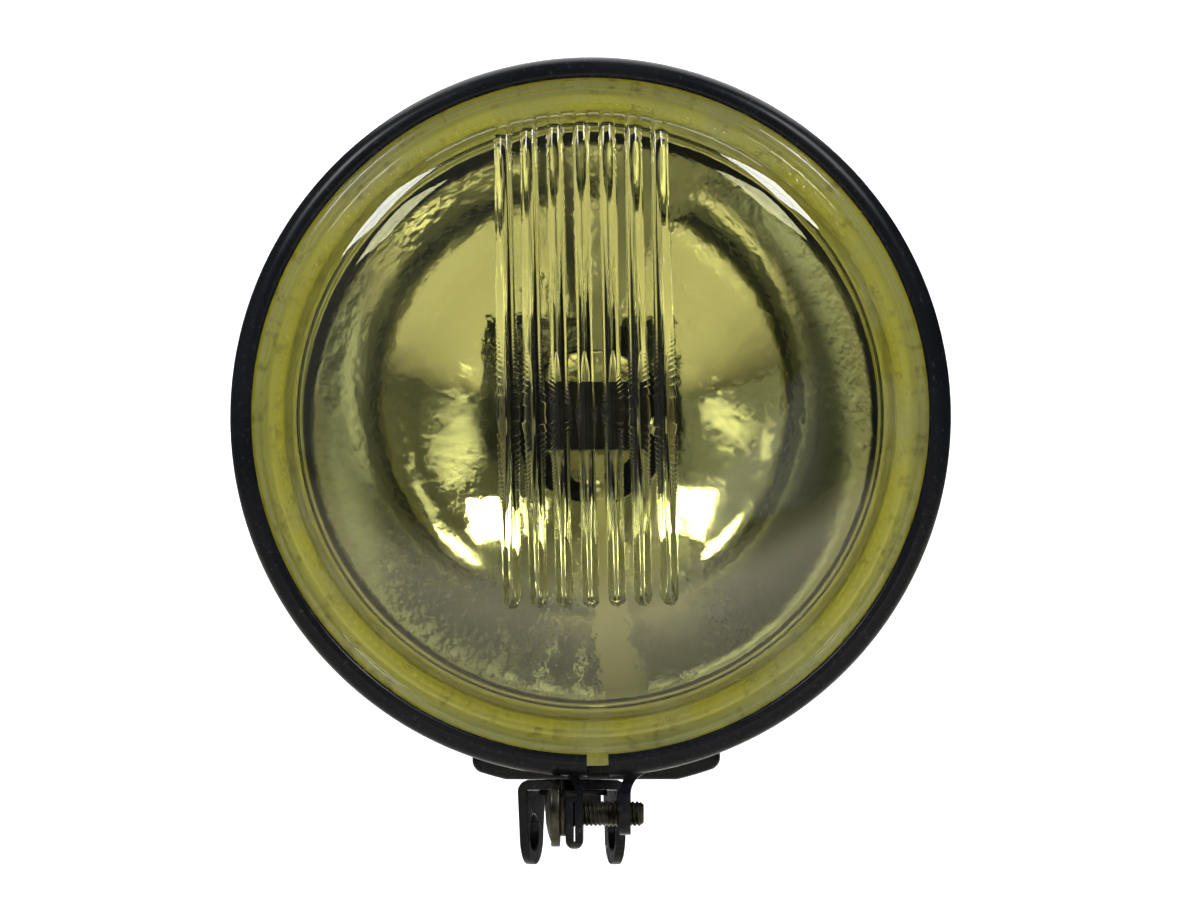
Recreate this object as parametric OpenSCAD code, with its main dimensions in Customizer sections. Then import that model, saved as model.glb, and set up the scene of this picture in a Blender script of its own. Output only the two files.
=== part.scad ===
// Round 160 mm auxiliary fog light on a swivelling U bracket. Millimetres, +Z up, the lens faces -Y.
// The origin is the middle of the cross bore through the bracket's two ears.

/* [Lamp position] */
// Sideways distance from the cross bore's middle to the lamp's axis
lamp_x = 4.6; // [3:0.1:6]
// Height of the lamp's axis above the cross bore
lamp_z = 96; // [95:0.5:100]
// Distance from the swivel bolt's axis forward to the clamp rim's middle plane
rim_forward = 24; // [23:0.5:27]
// How far the lens and the rim's split are turned about the lamp's axis, in degrees
clocking = 1.3; // [0:0.1:3]

/* [Clamp rim] */
// Outer radius of the rim
rim_r = 83; // [82.8:0.1:84]
// Radius of the window inside the rim's front lip
window_r = 78; // [76:0.5:78.5]
// Sheet thickness of the rim
rim_sheet = 1.2; // [1:0.1:1.4]
// Distance from the rim's middle plane to its front
rim_front = 7; // [6.5:0.5:8]
// Width of the split at the bottom of the rim
split_w = 5.2; // [4:0.2:6]

/* [Lens] */
// Outer radius of the glass
lens_r = 80.4; // [79.5:0.1:80.6]
// Radius of the dome where it leaves the flange
dome_r = 70.5; // [69.5:0.5:71]
// Height of the dome above the flange's front
dome_h = 11.5; // [10:0.5:13]
// Distance between neighbouring flutes
flute_pitch = 5.96; // [5.5:0.02:6.4]
// Width of a flute
flute_w = 3.4; // [3:0.1:4]
// Height of a flute above the dome
flute_h = 1.3; // [0.8:0.1:1.6]
// Height above the lamp's axis where the flutes end at the top
flute_top = 70.3; // [66:0.1:70.4]
// Depth below the lamp's axis where the flutes end at the bottom
flute_bottom = 43.7; // [35:0.1:50]

/* [Reflector] */
// Focal length of the paraboloid
focal = 28.4; // [28:0.1:29]
// Radius of the reflector's bright edge
mirror_r = 68; // [67:0.5:68]
// Radius of the flat behind the bulb
flat_r = 18; // [17.5:0.5:20]

/* [Housing] */
// Outer radius of the housing's straight wall
housing_r = 71; // [70.5:0.5:72]
// Distance from the rim's middle plane to where the back starts to round in
straight_to = 38; // [37:1:42]
// Distance from the rim's middle plane to the flat back
back_at = 72; // [70:1:80]
// Radius of the flat back
back_r = 32; // [30:1:36]
// Sheet thickness of the housing and of its flange
housing_sheet = 1.2; // [1:0.1:1.4]

/* [Mounting] */
// Outer width across the bracket's ears at the cross bore
bracket_w = 22.3; // [21.5:0.1:24]
// Sheet thickness of the bracket
bracket_sheet = 2.3; // [2:0.1:2.5]
// Radius of the cross bore through the ears
ear_bore_r = 4.25; // [3.25:0.05:4.25]
// Radius of the ears' round ends
ear_end_r = 7.5; // [7:0.1:8]
// Angle by which each ear opens towards the front, in degrees
toe_out = 12; // [0:0.5:13]
// Radius of the swivel bolt's shank
swivel_r = 4; // [3:0.5:4]
// Distance from the lamp's axis down to the flat land under the seat
land_drop = 83.6; // [83.2:0.1:84]

/* [Clamp screw] */
// Radius of the clamp screw's shank
clamp_r = 2.95; // [2.45:0.05:3]
// Radius of the clamp screw's head
clamp_head_r = 7.6; // [6:0.1:7.8]
// Distance from the lamp's axis down to the clamp screw
clamp_drop = 91.4; // [91:0.1:92.5]

/* [Hidden] */

fine = 128;
small = 32;
big = 400;
face_gap = 0.05;
run_gap = 0.08;

// Distances behind the rim's middle plane, from the front of the clamped stack to its back.
lens_face = -rim_front + rim_sheet;
lens_back = -1.2;
gasket_back = 0.8;
reflector_sheet = 0.8;
reflector_back = gasket_back + reflector_sheet;
housing_face = reflector_back;
housing_flange_back = housing_face + housing_sheet;
rim_back = housing_flange_back + rim_sheet;

// Reflector: the flat in the middle carries the bulb, whose filament stands at the focus.
vertex_at = gasket_back + mirror_r * mirror_r / (4 * focal);
mirror_flat_at = vertex_at - flat_r * flat_r / (4 * focal);
mirror_skin = 1;
focus_at = vertex_at - focal;
retainer_at = mirror_flat_at + mirror_skin;
retainer_sheet = 0.95;
bulb_seat_at = retainer_at + retainer_sheet;
bulb_hole_r = 11.5;
rivet_pcr = 14.5;

// Bracket and seat, heights above the cross bore.
land_z = lamp_z - land_drop;
web_top = land_z - face_gap;
web_bottom = web_top - bracket_sheet;
washer_t = 1.3;
head_t = 3.7;
seat_sheet = 2;
seat_r = 85.9;
seat_left = -27.6;
seat_right = 29.8;
seat_corner_r = 3;
seat_front = 8;
seat_back = 40;

// Clamp ears, measured sideways from the lamp's axis.
left_ear = [-5.6, -1.6];
right_ear = [6.8, 9.3];
left_ear_end = 99.6;
right_ear_end = 96.3;
ear_depth = 10.6;
left_fillet = 2;
right_fillet = 4.2;
clamp_tip = 12.3;
clamp_at = (rim_back - rim_front) / 2;

// A point on a circle of radius r about c, at angle a.
function on_circle(c, r, a) = [c[0] + r * cos(a), c[1] + r * sin(a)];
// The dome's outer and inner surfaces: distance from the rim's middle plane at radius r.
function dome_out(r) = lens_face - dome_h * pow(max(0, 1 - pow(r / dome_r, 2)), 0.313);
inner_r = 67.2;
inner_h = 12.6;
function dome_in(r) = lens_back - inner_h * pow(max(0, 1 - pow(r / inner_r, 2)), 0.25);
// The reflector's mirror surface at radius r.
function mirror_at(r) = vertex_at - r * r / (4 * focal);
// Radii that crowd towards the edge, where the dome's wall turns down.
function crowded(r, n) = [for (i = [0:n]) r * sin(90 * i / n)];

// Puts a child drawn about the lamp's axis, with +Y to the rear, in its place.
module at_lamp(turn = 0) {
    translate([lamp_x, -rim_forward, lamp_z]) rotate([0, -turn, 0]) children();
}

// A solid of revolution about the lamp's axis. Each point is [radius, distance behind the rim plane].
module turned(points, turn = 0) {
    at_lamp(turn) rotate([-90, 0, 0]) rotate_extrude($fn = fine) polygon(points);
}

// A round bar along the lamp's axis between two distances.
module axial(r, from, to, x = 0, z = 0, sides = small) {
    at_lamp() translate([x, from, z]) rotate([-90, 0, 0]) cylinder(r = r, h = to - from, $fn = sides);
}

// A round bar along X.
module cross_bar(r, from, to, sides = small) {
    translate([from, 0, 0]) rotate([0, 90, 0]) cylinder(r = r, h = to - from, $fn = sides);
}

// A drawing in the plane of X and height, pushed back from y = from to y = to.
module pushed_back(from, to) {
    translate([0, to, 0]) rotate([90, 0, 0]) linear_extrude(to - from) children();
}

// ---- Bracket -------------------------------------------------------------------------------

bend_r = 3;
bracket_half_depth = 10;

// The bracket's section across its ears, with round outer bends.
module bracket_section() {
    half = bracket_w / 2;
    difference() {
        union() {
            translate([0, -ear_end_r - 1]) square([half, web_top - bend_r + ear_end_r + 1]);
            square([half - bend_r, web_top]);
            translate([half - bend_r, web_top - bend_r]) circle(r = bend_r, $fn = small);
        }
        translate([-1, -ear_end_r - 2]) square([half - bracket_sheet + 1, web_bottom + ear_end_r + 2]);
    }
}

// The ear's outline seen from the side: straight edges down to a round end about the cross bore.
module ear_side() {
    union() {
        circle(r = ear_end_r, $fn = 64);
        polygon([
            [-ear_end_r, 0], [ear_end_r, 0],
            [bracket_half_depth, web_top + 1], [-bracket_half_depth, web_top + 1]
        ]);
    }
}

// One half of the bracket, opened out by the toe angle and cut at the middle plane.
module bracket_half() {
    intersection() {
        rotate([0, 0, toe_out]) intersection() {
            pushed_back(-big, big) bracket_section();
            rotate([90, 0, 90]) linear_extrude(big, center = true) ear_side();
        }
        translate([0, -big / 2, -big / 2]) cube(big);
    }
}

module mount_bracket() {
    color([0.1, 0.11, 0.13]) difference() {
        union() {
            bracket_half();
            mirror([1, 0, 0]) bracket_half();
        }
        cross_bar(ear_bore_r, -big / 2, big / 2, 64);
        translate([0, 0, web_bottom - 1]) cylinder(r = swivel_r + run_gap, h = bracket_sheet + 2, $fn = 64);
    }
}

swivel_head_af = 13;

module swivel_bolt() {
    head_bottom = web_bottom - face_gap - washer_t - head_t;
    tip = land_z + seat_sheet + 8.6;
    color([0.13, 0.13, 0.14]) union() {
        translate([0, 0, head_bottom]) rotate([0, 0, 30])
            cylinder(d = swivel_head_af / cos(30), h = head_t, $fn = 6);
        translate([0, 0, head_bottom]) cylinder(r = swivel_r, h = tip - head_bottom, $fn = 64);
    }
}

module swivel_washer() {
    top = web_bottom - face_gap;
    color([0.55, 0.55, 0.52]) translate([0, 0, top - washer_t]) difference() {
        cylinder(r = 8, h = washer_t, $fn = 64);
        translate([0, 0, -1]) cylinder(r = swivel_r + 0.2, h = washer_t + 2, $fn = 64);
    }
}

module swivel_nut() {
    nut_h = 6.5;
    color([0.6, 0.58, 0.5]) translate([0, 0, land_z + seat_sheet]) difference() {
        translate([-7, -7, 0]) cube([14, 14, nut_h]);
        translate([0, 0, -1]) cylinder(r = swivel_r + 0.05, h = nut_h + 2, $fn = 64);
    }
}

// ---- Seat ----------------------------------------------------------------------------------

// The seat's outline seen from the front, grown inwards by inset: round below, flat over the land.
module seat_outline(inset) {
    r = seat_r - inset;
    corner = seat_corner_r - inset;
    left = seat_left + seat_corner_r;
    right = seat_right - seat_corner_r;
    run = seat_r - seat_corner_r;
    drops = [for (x = [left, right]) sqrt(run * run - x * x)];
    intersection() {
        union() {
            intersection() {
                circle(r = r, $fn = fine);
                translate([left, -big]) square([right - left, big]);
            }
            translate([left, -drops[0]]) circle(r = corner, $fn = small);
            translate([right, -drops[1]]) circle(r = corner, $fn = small);
            translate([left - corner, -drops[0]]) square([corner + 1, drops[0]]);
            translate([right - 1, -drops[1]]) square([corner + 1, drops[1]]);
        }
        translate([-big / 2, -land_drop + inset]) square([big, big]);
    }
}

seat_skin = 1.6;
tab_turns = [20, 34];
seat_rivet_turn = 30;
seat_rivet_at = [15, 33];

// A curved tab against the housing's wall, between two angles from straight down.
module seat_tab(from, to) {
    at_lamp() rotate([0, 90 + to, 0]) rotate([90, 0, 0]) mirror([0, 0, 1])
        translate([0, 0, seat_front + 3]) rotate_extrude(angle = to - from, $fn = fine)
            translate([housing_r + 0.03, 0]) square([seat_skin, seat_back - seat_front - 6]);
}

module mount_seat() {
    color([0.09, 0.1, 0.12]) difference() {
        union() {
            at_lamp() difference() {
                pushed_back(seat_front, seat_back) seat_outline(0);
                pushed_back(seat_front + seat_sheet, seat_back - seat_sheet) seat_outline(seat_sheet);
            }
            seat_tab(-tab_turns[1], -tab_turns[0]);
            seat_tab(tab_turns[0], tab_turns[1]);
        }
        axial(housing_r + 0.03, seat_front - 1, seat_back + 1, sides = fine);
        translate([0, 0, land_z - 1]) cylinder(r = swivel_r + 0.1, h = seat_sheet + 2, $fn = 64);
        seat_rivet_holes();
    }
}

// Places a child at each seat rivet, with +Z pointing out from the housing.
module at_seat_rivets() {
    for (side = [-1, 1], back = seat_rivet_at)
        at_lamp() rotate([0, side * seat_rivet_turn, 0]) translate([0, back, -housing_r])
            rotate([180, 0, 0]) children();
}

module seat_rivet_holes() {
    at_seat_rivets() translate([0, 0, -5]) cylinder(r = 1.65, h = 12, $fn = small);
}

module seat_rivets() {
    color([0.12, 0.12, 0.13]) at_seat_rivets() {
        translate([0, 0, -housing_sheet - 1])
            cylinder(r = 1.6, h = seat_skin + housing_sheet + 1.6, $fn = small);
        translate([0, 0, seat_skin + 0.15]) rivet_head(3, 1.3);
        translate([0, 0, -housing_sheet - 0.15]) mirror([0, 0, 1]) rivet_head(2.8, 1);
    }
}

// A low domed head standing on z = 0.
module rivet_head(r, h) {
    sphere_r = (r * r + h * h) / (2 * h);
    rotate_extrude($fn = small) polygon([
        [0, 0], [r, 0],
        for (i = [1:6]) let (a = asin(r / sphere_r) * (1 - i / 6))
            [sphere_r * sin(a), sphere_r * cos(a) - sphere_r + h]
    ]);
}

// ---- Housing -------------------------------------------------------------------------------

housing_flange_r = 80.8;
grommet_drop = 18;
grommet_hole_r = 5.5;
earth_x = 19;
earth_drop = 8;
earth_r = 2;

// The housing's wall from its flange to the middle of its back, shrunk by inset.
function housing_wall(inset) = [
    for (i = [0:20]) let (a = 90 * i / 20)
        [
            back_r + (housing_r - back_r - inset) * cos(a),
            straight_to + (back_at - straight_to - inset) * sin(a)
        ],
    [0, back_at - inset]
];

module housing() {
    inner = housing_wall(housing_sheet);
    count = len(inner);
    color([0.08, 0.09, 0.11]) difference() {
        turned(concat(
            [[housing_r - housing_sheet, housing_face], [housing_flange_r, housing_face]],
            [[housing_flange_r, housing_flange_back], [housing_r, housing_flange_back]],
            housing_wall(0),
            [for (i = [1:count]) inner[count - i]]
        ));
        seat_rivet_holes();
        axial(grommet_hole_r, back_at - 4, back_at + 4, z = -grommet_drop);
        axial(earth_r + 0.15, back_at - 4, back_at + 4, earth_x, -earth_drop);
    }
}

// ---- Clamp rim -----------------------------------------------------------------------------

shoulder_r = 4;
lip_r = 1.5;

// The rim's channel section: front lip, round shoulder, wall and rear lip.
function rim_section() = [
    [window_r, -rim_front],
    for (i = [0:8])
        on_circle([rim_r - shoulder_r, shoulder_r - rim_front], shoulder_r, -90 + 90 * i / 8),
    for (i = [0:4]) on_circle([rim_r - lip_r, rim_back - lip_r], lip_r, 90 * i / 4),
    [window_r + 1.6, rim_back],
    [window_r + 1.6, rim_back - rim_sheet],
    for (i = [0:4])
        on_circle([rim_r - lip_r, rim_back - lip_r], lip_r - rim_sheet, 90 - 90 * i / 4),
    for (i = [0:8])
        on_circle([rim_r - shoulder_r, shoulder_r - rim_front], shoulder_r - rim_sheet, -90 * i / 8),
    [window_r, -rim_front + rim_sheet]
];

// A clamp ear between two sideways positions: a plate with a round end, and a fillet up to the rim.
// side is the direction in which the fillet spreads.
module clamp_ear(span, end, side, fillet) {
    fillet_x = side < 0 ? span[0] : span[1];
    root_drop = sqrt(rim_r * rim_r - fillet_x * fillet_x) - rim_sheet;
    at_lamp() {
        translate([span[0], clamp_at - ear_depth / 2, -end + ear_depth / 2])
            cube([span[1] - span[0], ear_depth, end - ear_depth / 2 - root_drop]);
        translate([0, clamp_at, -end + ear_depth / 2]) cross_bar(ear_depth / 2, span[0], span[1], 64);
        pushed_back(clamp_at - ear_depth / 2, clamp_at + ear_depth / 2) difference() {
            translate([side < 0 ? fillet_x - fillet : fillet_x, -root_drop - 1.6 - fillet])
                square([fillet, fillet + 2]);
            translate([fillet_x + side * fillet, -root_drop - 1.6 - fillet]) circle(r = fillet, $fn = 64);
        }
    }
}

module clamp_rim() {
    hem_gap = 0.4;
    color([0.08, 0.09, 0.11]) difference() {
        union() {
            difference() {
                turned(rim_section());
                at_lamp(clocking) translate([-split_w / 2, -20, -rim_r - 5]) cube([split_w, 40, 30]);
            }
            clamp_ear(left_ear, left_ear_end, -1, left_fillet);
            clamp_ear(right_ear, right_ear_end, 1, right_fillet);
        }
        // The slot inside the folded left ear, open at both edges.
        at_lamp() translate([(left_ear[0] + left_ear[1] - hem_gap) / 2, -20, -left_ear_end + 1.4])
            cube([hem_gap, 40, 13]);
        at_lamp() translate([0, clamp_at, -clamp_drop]) {
            cross_bar(3.3, left_ear[0] - 1, left_ear[1] + 1, 64);
            cross_bar(clamp_r + face_gap, right_ear[0] - 1, right_ear[1] + 1, 64);
        }
    }
}

clamp_washer_r = 5.2;
clamp_washer_t = 1.2;

module clamp_washer() {
    inner_face = left_ear[0] - face_gap;
    color([0.5, 0.49, 0.42]) at_lamp() translate([0, clamp_at, -clamp_drop]) difference() {
        cross_bar(clamp_washer_r, inner_face - clamp_washer_t, inner_face, 64);
        cross_bar(clamp_r + 0.1, inner_face - clamp_washer_t - 1, inner_face + 1, 64);
    }
}

module clamp_screw() {
    under_head = left_ear[0] - 2 * face_gap - clamp_washer_t;
    head_h = 3.4;
    head_edge = 1.6;
    color([0.52, 0.5, 0.42]) at_lamp() translate([0, clamp_at, -clamp_drop]) difference() {
        union() {
            cross_bar(clamp_r, under_head, clamp_tip - 1, 64);
            translate([clamp_tip - 1, 0, 0]) rotate([0, 90, 0])
                cylinder(r1 = clamp_r, r2 = clamp_r - 0.8, h = 1, $fn = 64);
            cross_bar(clamp_head_r, under_head - head_edge, under_head, 64);
            translate([under_head - head_edge, 0, 0]) rotate([0, -90, 0])
                rivet_head(clamp_head_r, head_h - head_edge);
        }
        translate([under_head - head_h - 1, -big / 2, -0.6]) cube([2.4, big, 1.2]);
    }
}

// ---- Lens and gasket -----------------------------------------------------------------------

flute_count = 7;
bead_r = 73.2;
lens_edge = 1.4;
flute_shift = -0.5;

module lens() {
    outer = crowded(dome_r, 20);
    inner = crowded(inner_r, 16);
    color([0.86, 0.84, 0.25, 0.6]) union() {
        turned(concat(
            [for (r = outer) [r, dome_out(r)]],
            [[bead_r - 1, lens_face], [bead_r - 0.5, lens_face - 0.5]],
            [[bead_r + 0.5, lens_face - 0.5], [bead_r + 1, lens_face]],
            [[lens_r - lens_edge, lens_face], [lens_r, lens_face + lens_edge], [lens_r, lens_back]],
            [for (i = [0:len(inner) - 1]) let (r = inner[len(inner) - 1 - i]) [r, dome_in(r)]]
        ), clocking);
        intersection() {
            turned(concat(
                [for (r = outer) [r, dome_out(r) - (r > dome_r - 0.1 ? 0 : flute_h)]],
                [for (i = [0:len(outer) - 1]) let (r = outer[len(outer) - 1 - i]) [r, dome_out(r) + 0.8]]
            ), clocking);
            at_lamp(clocking) for (i = [0:flute_count - 1]) {
                middle = (i - (flute_count - 1) / 2) * flute_pitch + flute_shift;
                translate([middle - flute_w / 2, -40, -flute_bottom])
                    cube([flute_w, 40, flute_bottom + flute_top]);
            }
        }
    }
}

module lens_gasket() {
    color([0.7, 0.69, 0.64]) turned([
        [dome_r, lens_back], [80, lens_back], [80, gasket_back], [dome_r, gasket_back]
    ]);
}

// ---- Reflector and shield ------------------------------------------------------------------

mirror_back_shift = 1.2;

module reflector() {
    steps = 24;
    back_r_at_flange = sqrt(4 * focal * (vertex_at + mirror_back_shift - reflector_back));
    color([0.8, 0.81, 0.8]) difference() {
        turned(concat(
            [[bulb_hole_r, mirror_flat_at]],
            [for (i = [0:steps]) let (r = flat_r + (mirror_r - flat_r) * i / steps) [r, mirror_at(r)]],
            [[80, gasket_back], [80, reflector_back]],
            [for (i = [0:steps]) let (r = back_r_at_flange + (flat_r + 1 - back_r_at_flange) * i / steps)
                [r, mirror_at(r) + mirror_back_shift]],
            [[flat_r, retainer_at], [bulb_hole_r, retainer_at]]
        ));
        for (a = [0:90:270]) axial(1.25, mirror_flat_at - 2, retainer_at + 2,
            rivet_pcr * cos(a), rivet_pcr * sin(a));
    }
}

shield_w = 20.8;
shield_h = 15.5;
shield_at = -4.6;
shield_wall = 7;
shield_sheet = 0.8;
leg_w = 1.8;
foot_w = 5;

module bulb_shield() {
    foot_at = mirror_flat_at - shield_sheet;
    color([0.07, 0.07, 0.08]) difference() {
        at_lamp() {
            difference() {
                translate([-shield_w / 2, shield_at, -shield_h / 2]) cube([shield_w, shield_wall, shield_h]);
                translate([shield_sheet - shield_w / 2, shield_at + shield_sheet, shield_sheet - shield_h / 2])
                    cube([shield_w - 2 * shield_sheet, shield_wall, shield_h - 2 * shield_sheet]);
            }
            for (side = [0, 1]) mirror([0, 0, side]) {
                translate([-leg_w / 2, shield_at + 1, shield_h / 2 - shield_sheet])
                    cube([leg_w, mirror_flat_at - shield_at - 1, shield_sheet]);
                translate([-foot_w / 2, foot_at, shield_h / 2 - shield_sheet])
                    cube([foot_w, shield_sheet, flat_r - shield_h / 2]);
            }
        }
        for (side = [-1, 1]) axial(1.25, foot_at - 1, mirror_flat_at + 1, 0, side * rivet_pcr);
    }
}

// A rivet through the sheets behind the reflector's flat, with a head on each side.
module sheet_rivet(front, x, z) {
    axial(1.2, front - 0.3, bulb_seat_at + 0.3, x, z);
    at_lamp() translate([x, front, z]) rotate([90, 0, 0]) rivet_head(2.2, 0.9);
    at_lamp() translate([x, bulb_seat_at, z]) rotate([-90, 0, 0]) rivet_head(2.2, 0.9);
}

module shield_rivets() {
    color([0.62, 0.62, 0.6]) for (side = [-1, 1])
        sheet_rivet(mirror_flat_at - shield_sheet, 0, side * rivet_pcr);
}

module retainer_rivets() {
    color([0.62, 0.62, 0.6]) for (side = [-1, 1]) sheet_rivet(mirror_flat_at, side * rivet_pcr, 0);
}

// ---- Bulb holder and clip ------------------------------------------------------------------

retainer_r = 17.6;
retainer_hole_r = 6.2;
wire_r = 0.6;
clip_x = 19.4;
clip_arm_z = 8.4;
clip_at = bulb_seat_at + 0.6 + 0.25 + wire_r;
lug_w = 2.6;
lug_z = 5;
lug_t = 1.6;
catch_gap = 0.3;

module bulb_retainer() {
    color([0.66, 0.65, 0.58]) difference() {
        union() {
            axial(retainer_r, retainer_at, bulb_seat_at, sides = 64);
            at_lamp() {
                // Hinge side: a tab with two lugs round the clip's wire.
                translate([12, retainer_at, -lug_z - lug_t])
                    cube([clip_x + lug_w / 2 - 12, retainer_sheet, 2 * (lug_z + lug_t)]);
                for (z = [-lug_z - lug_t, lug_z])
                    translate([clip_x - lug_w / 2, retainer_at, z])
                        cube([lug_w, clip_at - retainer_at + lug_w / 2, lug_t]);
                // Catch side: two posts that the clip's end snaps between.
                translate([-clip_x - 1.6, retainer_at, -clip_arm_z - 3.4])
                    cube([clip_x - 8, retainer_sheet, 2 * clip_arm_z + 6.8]);
                for (side = [0, 1]) mirror([0, 0, side])
                    translate([-clip_x - 1.6, retainer_at, clip_arm_z + wire_r + catch_gap])
                        cube([3.2, 4.6, 1.6]);
            }
        }
        axial(retainer_hole_r, retainer_at - 1, bulb_seat_at + 1);
        at_lamp() translate([clip_x, clip_at, -big / 2]) cylinder(r = wire_r + face_gap, h = big, $fn = small);
        for (a = [0:90:270]) axial(1.25, retainer_at - 1, bulb_seat_at + 1,
            rivet_pcr * cos(a), rivet_pcr * sin(a));
    }
}

module bulb_clip() {
    color([0.7, 0.7, 0.68]) at_lamp() translate([0, clip_at, 0]) {
        for (x = [-clip_x, clip_x]) translate([x, 0, -clip_arm_z])
            cylinder(r = wire_r, h = 2 * clip_arm_z, $fn = small);
        for (z = [-clip_arm_z, clip_arm_z]) {
            translate([0, 0, z]) cross_bar(wire_r, -clip_x, clip_x);
            for (x = [-clip_x, clip_x]) translate([x, 0, z]) sphere(r = wire_r, $fn = small);
        }
    }
}

// ---- Bulb ----------------------------------------------------------------------------------

flange_t = 0.6;
sleeve_r = 5.7;
glass_r = 4.75;
glass_wall = 0.9;
glass_tip = -0.4;
base_back = bulb_seat_at + 5.6;
insulator_back = base_back + 4.4;

module bulb_flange() {
    color([0.72, 0.7, 0.62]) turned([
        [glass_r + 0.1, bulb_seat_at - 4.6], [sleeve_r, bulb_seat_at - 4.6],
        [sleeve_r, bulb_seat_at], [9, bulb_seat_at], [9, bulb_seat_at + flange_t],
        [7, bulb_seat_at + flange_t], [7, base_back], [5.6, base_back],
        [5.6, bulb_seat_at + flange_t + 0.4], [glass_r + 0.1, bulb_seat_at + flange_t + 0.4]
    ]);
}

module bulb_insulator() {
    color([0.85, 0.84, 0.8]) difference() {
        axial(5.5, bulb_seat_at + flange_t + 0.45, insulator_back, sides = 64);
        at_lamp() translate([-3.3, insulator_back - 6, -0.5]) cube([6.6, 7, 1]);
    }
}

module bulb_terminal() {
    blade_w = 6.3;
    blade_t = 0.8;
    blade_end = insulator_back + 8;
    color([0.78, 0.7, 0.45]) at_lamp() difference() {
        translate([-blade_w / 2, insulator_back - 6, -blade_t / 2])
            cube([blade_w, blade_end - insulator_back + 6, blade_t]);
        translate([0, blade_end - 4, -2]) cylinder(r = 0.8, h = 4, $fn = small);
    }
}

module bulb_glass() {
    inner = glass_r - glass_wall;
    dome_at = glass_tip + glass_r;
    back = bulb_seat_at + flange_t + 0.4;
    color([0.9, 0.92, 0.92, 0.4]) turned(concat(
        [for (i = [0:10]) on_circle([0, dome_at], glass_r, -90 + 90 * i / 10)],
        [[glass_r, back], [0, back], [0, back - 5]],
        [[inner, back - 5]],
        [for (i = [0:10]) on_circle([0, dome_at], inner, -90 * i / 10)]
    ));
}

module bulb_filament() {
    coil_r = 0.75;
    coil_half = 2.5;
    lead_r = 0.3;
    lead_z = 2.4;
    lead_back = bulb_seat_at + flange_t + 0.4 - 5.1;
    color([0.5, 0.5, 0.52]) {
        axial(coil_r, focus_at - coil_half, focus_at + coil_half);
        for (side = [-1, 1]) at_lamp() {
            lead_front = focus_at + side * (coil_half - 0.8);
            translate([0, lead_front, 0]) mirror([0, 0, side < 0 ? 1 : 0])
                cylinder(r = lead_r, h = lead_z, $fn = small);
            translate([0, lead_front, side * lead_z]) sphere(r = lead_r, $fn = small);
            translate([0, lead_front, side * lead_z]) rotate([-90, 0, 0])
                cylinder(r = lead_r, h = lead_back - lead_front, $fn = small);
        }
    }
}

// ---- Earth screw and cable inlet -----------------------------------------------------------

earth_washer_t = 0.8;

module earth_screw() {
    inside = back_at - housing_sheet;
    color([0.66, 0.65, 0.58]) {
        axial(earth_r, inside - earth_washer_t - 1, back_at + 5.6, earth_x, -earth_drop);
        difference() {
            axial(3.8, inside - earth_washer_t - 3, inside - earth_washer_t, earth_x, -earth_drop);
            at_lamp() translate([earth_x - 10, inside - earth_washer_t - 4, -earth_drop - 0.5])
                cube([20, 2.2, 1]);
        }
    }
}

module earth_washer() {
    inside = back_at - housing_sheet;
    color([0.6, 0.6, 0.56]) difference() {
        axial(4.2, inside - earth_washer_t, inside, earth_x, -earth_drop);
        axial(earth_r + 0.15, inside - 2, inside + 1, earth_x, -earth_drop);
    }
}

module earth_nut() {
    nut_h = 3.2;
    color([0.62, 0.6, 0.52]) difference() {
        at_lamp() translate([earth_x, back_at, -earth_drop]) rotate([-90, 0, 0])
            cylinder(d = 7 / cos(30), h = nut_h, $fn = 6);
        axial(earth_r + 0.05, back_at - 1, back_at + nut_h + 1, earth_x, -earth_drop);
    }
}

cable_r = 2.6;

module cable_grommet() {
    color([0.1, 0.1, 0.1]) at_lamp() translate([0, 0, -grommet_drop]) rotate([-90, 0, 0])
        rotate_extrude($fn = 64) polygon([
            [cable_r, back_at - housing_sheet - 2.5], [7, back_at - housing_sheet - 2.5],
            [8, back_at - housing_sheet - 1.5], [8, back_at - housing_sheet],
            [grommet_hole_r - 0.03, back_at - housing_sheet], [grommet_hole_r - 0.03, back_at],
            [8.5, back_at], [8.5, back_at + 1.5], [7.5, back_at + 2.5],
            [5.6, back_at + 3], [4.9, back_at + 9], [cable_r, back_at + 9]
        ]);
}

mount_bracket();
swivel_bolt();
swivel_washer();
swivel_nut();
mount_seat();
seat_rivets();
housing();
clamp_rim();
clamp_washer();
clamp_screw();
lens();
lens_gasket();
reflector();
bulb_shield();
shield_rivets();
bulb_retainer();
retainer_rivets();
bulb_clip();
bulb_flange();
bulb_insulator();
bulb_terminal();
bulb_glass();
bulb_filament();
earth_screw();
earth_washer();
earth_nut();
cable_grommet();
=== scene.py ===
"""Round auxiliary fog light: yellow fluted glass, mirror, black steel housing and clamp rim."""

import math

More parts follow.
